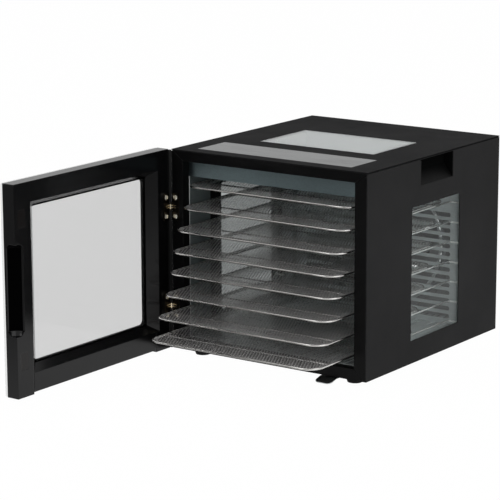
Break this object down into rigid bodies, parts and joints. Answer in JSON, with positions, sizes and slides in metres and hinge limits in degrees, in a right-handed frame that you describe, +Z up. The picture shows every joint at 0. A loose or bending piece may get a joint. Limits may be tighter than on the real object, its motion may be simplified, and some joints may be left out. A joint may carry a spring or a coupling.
{
  "type": "food dehydrator",
  "caption": "Box-shaped food dehydrator with a side-hung glass door, sliding wire trays, a rear fan and ring heater, side and roof windows and a pull-out crumb pan.",
  "frame": {"origin": "on the worktop, under the middle of the cabinet's footprint", "axes": "+X to the right as seen from the front, +Y to the back, +Z up; the door side faces -Y"},
  "size_m": [0.3761, 0.7269, 0.315],
  "materials": {
    "powder_coat": "satin",
    "frame_coat": "gloss",
    "door_moulding": "gloss",
    "black_plastic": "matte",
    "chamber_steel": "brushed",
    "sheet_steel": "brushed",
    "bright_wire": "polished",
    "window_glass": "clear",
    "touch_glass": "polished",
    "door_glass": "clear",
    "black_rubber": "matte",
    "hinge_brass": "polished",
    "heater_sheath": "satin",
    "fan_sheet": "satin",
    "motor_case": "satin",
    "board": "matte",
    "magnet": "matte",
    "ceramic": "matte",
    "zinc_screw": "satin"
  },
  "bodies": {
    "cabinet": {"front_frame": "frame_coat", "top_panel": "powder_coat", "side_panel_left": "powder_coat", "side_panel_right": "powder_coat", "rear_panel": "powder_coat", "base_plate": "powder_coat", "handle_cup_left": "black_plastic", "handle_cup_right": "black_plastic", "window_left": "window_glass", "window_right": "window_glass", "window_sleeve_left": "chamber_steel", "window_sleeve_right": "chamber_steel", "roof_window": "window_glass", "roof_sleeve": "chamber_steel", "control_glass": "touch_glass", "control_tub": "black_plastic", "control_board": "board", "liner_left": "chamber_steel", "liner_right": "chamber_steel", "liner_floor": "chamber_steel", "liner_ceiling": "chamber_steel", "rear_baffle": "chamber_steel", "rails_left": "bright_wire", "rails_right": "bright_wire", "rail_strips": "sheet_steel", "heater_ring": "heater_sheath", "heater_clips": "sheet_steel", "fan_shroud": "sheet_steel", "fan_motor": "motor_case", "temperature_probe": "sheet_steel", "thermal_cutout": "ceramic", "motor_plate": "sheet_steel", "power_inlet": "black_plastic", "crumb_chute": "sheet_steel", "pan_runners": "sheet_steel", "feet": "black_rubber", "foot_screws": "zinc_screw", "hinge_cabinet_leaves": "hinge_brass", "hinge_pins": "hinge_brass", "hinge_cabinet_screws": "hinge_brass", "rear_screws": "zinc_screw"},
    "door": {"door_frame": "door_moulding", "door_front_glass": "door_glass", "door_inner_glass": "door_glass", "door_gasket": "black_rubber", "door_magnets": "magnet", "hinge_door_leaves": "hinge_brass", "hinge_door_screws": "hinge_brass"},
    "fan_wheel": {"fan": "fan_sheet", "fan_nut": "zinc_screw"},
    "crumb_drawer": {"crumb_pan": "sheet_steel"},
    "shelf_1": {"tray_1": "bright_wire"},
    "shelf_2": {"tray_2": "bright_wire"},
    "shelf_3": {"tray_3": "bright_wire"},
    "shelf_4": {"tray_4": "bright_wire"},
    "shelf_5": {"tray_5": "bright_wire"},
    "shelf_6": {"tray_6": "bright_wire"},
    "shelf_7": {"tray_7": "bright_wire"},
    "shelf_8": {"tray_8": "bright_wire"}
  },
  "joints": [
    {"name": "door_hinge", "type": "hinge", "parent": "cabinet", "child": "door", "pos_m": [-0.1735, -0.19075, 0.152], "axis": [0, 0, -1], "range_deg": [-90.6, 79.4]},
    {"name": "fan_spin", "type": "hinge", "parent": "cabinet", "child": "fan_wheel", "pos_m": [0, 0.13275, 0.145], "axis": [0, 1, 0], "continuous": true},
    {"name": "crumb_pan_slide", "type": "slide", "parent": "cabinet", "child": "crumb_drawer", "axis": [0, -1, 0], "range_m": [0, 0.2]},
    {"name": "tray_1_slide", "type": "slide", "parent": "cabinet", "child": "shelf_1", "axis": [0, -1, 0], "range_m": [-0.0211, 0.0185]},
    {"name": "tray_2_slide", "type": "slide", "parent": "cabinet", "child": "shelf_2", "axis": [0, -1, 0], "range_m": [-0.036, 0.0316]},
    {"name": "tray_3_slide", "type": "slide", "parent": "cabinet", "child": "shelf_3", "axis": [0, -1, 0], "range_m": [-0.0525, 0.0461]},
    {"name": "tray_4_slide", "type": "slide", "parent": "cabinet", "child": "shelf_4", "axis": [0, -1, 0], "range_m": [-0.063, 0.0553]},
    {"name": "tray_5_slide", "type": "slide", "parent": "cabinet", "child": "shelf_5", "axis": [0, -1, 0], "range_m": [-0.0705, 0.0618]},
    {"name": "tray_6_slide", "type": "slide", "parent": "cabinet", "child": "shelf_6", "axis": [0, -1, 0], "range_m": [-0.0825, 0.0724]},
    {"name": "tray_7_slide", "type": "slide", "parent": "cabinet", "child": "shelf_7", "axis": [0, -1, 0], "range_m": [-0.1006, 0.0881]},
    {"name": "tray_8_slide", "type": "slide", "parent": "cabinet", "child": "shelf_8", "axis": [0, -1, 0], "range_m": [-0.1171, 0.1026]}
  ],
  "couplings": [
    {"joint": "tray_1_slide", "follows": "door_hinge", "m_per_rad": 0.01328},
    {"joint": "tray_2_slide", "follows": "door_hinge", "m_per_rad": 0.022767},
    {"joint": "tray_3_slide", "follows": "door_hinge", "m_per_rad": 0.033201},
    {"joint": "tray_4_slide", "follows": "door_hinge", "m_per_rad": 0.039841},
    {"joint": "tray_5_slide", "follows": "door_hinge", "m_per_rad": 0.044584},
    {"joint": "tray_6_slide", "follows": "door_hinge", "m_per_rad": 0.052173},
    {"joint": "tray_7_slide", "follows": "door_hinge", "m_per_rad": 0.063557},
    {"joint": "tray_8_slide", "follows": "door_hinge", "m_per_rad": 0.073991}
  ]
}
